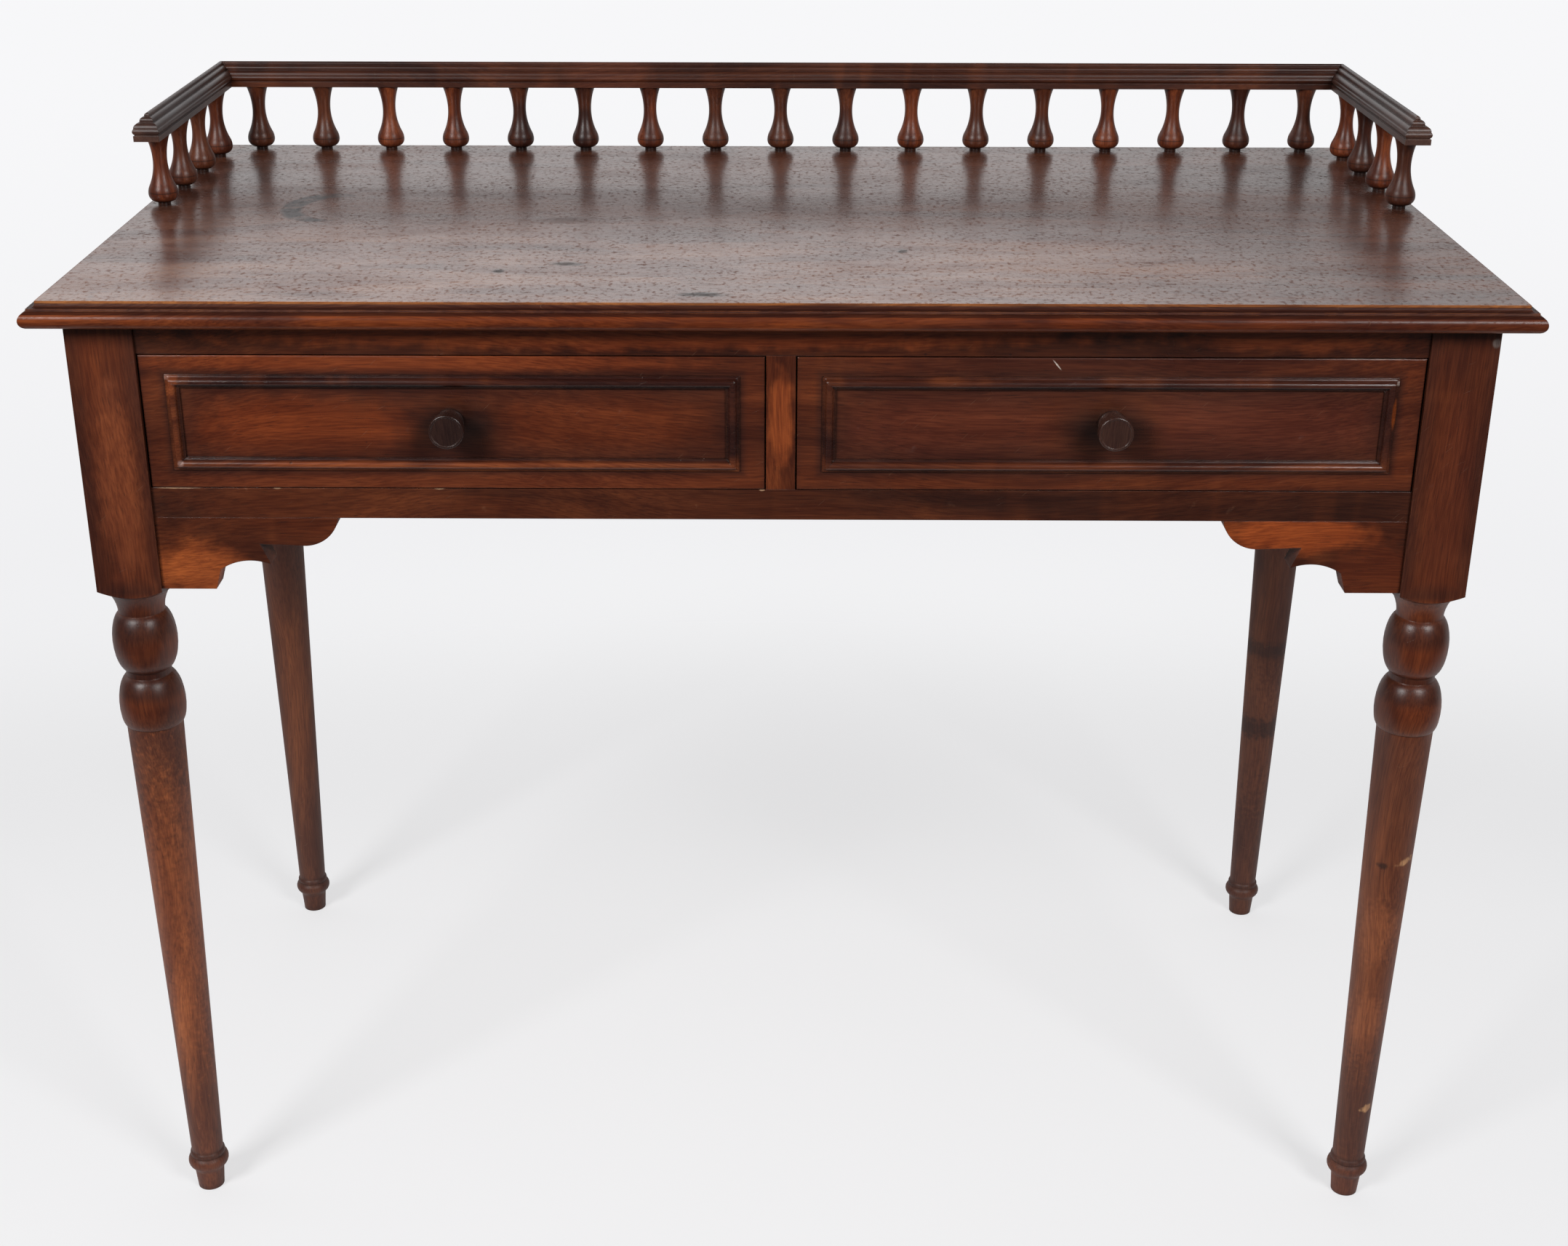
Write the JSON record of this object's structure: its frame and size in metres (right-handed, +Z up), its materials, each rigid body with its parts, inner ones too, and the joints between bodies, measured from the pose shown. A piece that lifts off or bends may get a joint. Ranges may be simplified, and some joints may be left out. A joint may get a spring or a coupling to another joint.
{
  "type": "writing table",
  "caption": "Wooden writing table on turned legs, with side-by-side drawers, a moulded top, scroll brackets and a low spindle gallery round the back.",
  "frame": {"origin": "on the floor, under the middle of the top board", "axes": "+X to the right as seen from the front, +Y towards the back, +Z up; the drawers pull out towards -Y"},
  "size_m": [1.03, 0.538, 0.8363],
  "materials": {
    "rail_wood": "glossy stained varnish",
    "baluster_wood": "glossy stained varnish",
    "bracket_wood": "glossy stained varnish",
    "lining_wood": "bare planed wood",
    "divider_wood": "worn stained varnish",
    "bead_wood": "glossy stained varnish",
    "drawer_front_wood": "glossy stained varnish",
    "knob_wood": "glossy dark stained varnish",
    "gallery_back_wood": "glossy stained varnish",
    "gallery_side_wood": "glossy stained varnish",
    "leg_wood": "glossy stained varnish",
    "side_wood": "glossy stained varnish",
    "top_wood": "glossy stained varnish"
  },
  "bodies": {
    "frame": {"back_apron": "rail_wood", "baluster_back_01": "baluster_wood", "baluster_back_02": "baluster_wood", "baluster_back_03": "baluster_wood", "baluster_back_04": "baluster_wood", "baluster_back_05": "baluster_wood", "baluster_back_06": "baluster_wood", "baluster_back_07": "baluster_wood", "baluster_back_08": "baluster_wood", "baluster_back_09": "baluster_wood", "baluster_back_10": "baluster_wood", "baluster_back_11": "baluster_wood", "baluster_back_12": "baluster_wood", "baluster_back_13": "baluster_wood", "baluster_back_14": "baluster_wood", "baluster_back_15": "baluster_wood", "baluster_back_16": "baluster_wood", "baluster_back_17": "baluster_wood", "baluster_left_1": "baluster_wood", "baluster_left_2": "baluster_wood", "baluster_left_3": "baluster_wood", "baluster_left_4": "baluster_wood", "baluster_right_1": "baluster_wood", "baluster_right_2": "baluster_wood", "baluster_right_3": "baluster_wood", "baluster_right_4": "baluster_wood", "bracket_left": "bracket_wood", "bracket_right": "bracket_wood", "centre_runner": "lining_wood", "drawer_divider": "divider_wood", "drawer_stops": "lining_wood", "gallery_rail_back": "gallery_back_wood", "gallery_rail_left": "gallery_side_wood", "gallery_rail_right": "gallery_side_wood", "kickers": "lining_wood", "leg_back_left": "leg_wood", "leg_back_right": "leg_wood", "leg_front_left": "leg_wood", "leg_front_right": "leg_wood", "lower_rail": "rail_wood", "runner_left": "lining_wood", "runner_right": "lining_wood", "side_apron_left": "side_wood", "side_apron_right": "side_wood", "top_board": "top_wood", "top_rail": "rail_wood"},
    "drawer_left": {"drawer_left_back": "lining_wood", "drawer_left_bead_frame": "bead_wood", "drawer_left_bottom": "lining_wood", "drawer_left_front": "drawer_front_wood", "drawer_left_knob": "knob_wood", "drawer_left_side_left": "lining_wood", "drawer_left_side_right": "lining_wood"},
    "drawer_right": {"drawer_right_back": "lining_wood", "drawer_right_bead_frame": "bead_wood", "drawer_right_bottom": "lining_wood", "drawer_right_front": "drawer_front_wood", "drawer_right_knob": "knob_wood", "drawer_right_side_left": "lining_wood", "drawer_right_side_right": "lining_wood"}
  },
  "joints": [
    {"name": "drawer_left_slide", "type": "slide", "parent": "frame", "child": "drawer_left", "axis": [0, -1, 0], "range_m": [0, 0.3]},
    {"name": "drawer_right_slide", "type": "slide", "parent": "frame", "child": "drawer_right", "axis": [0, -1, 0], "range_m": [0, 0.3]}
  ]
}
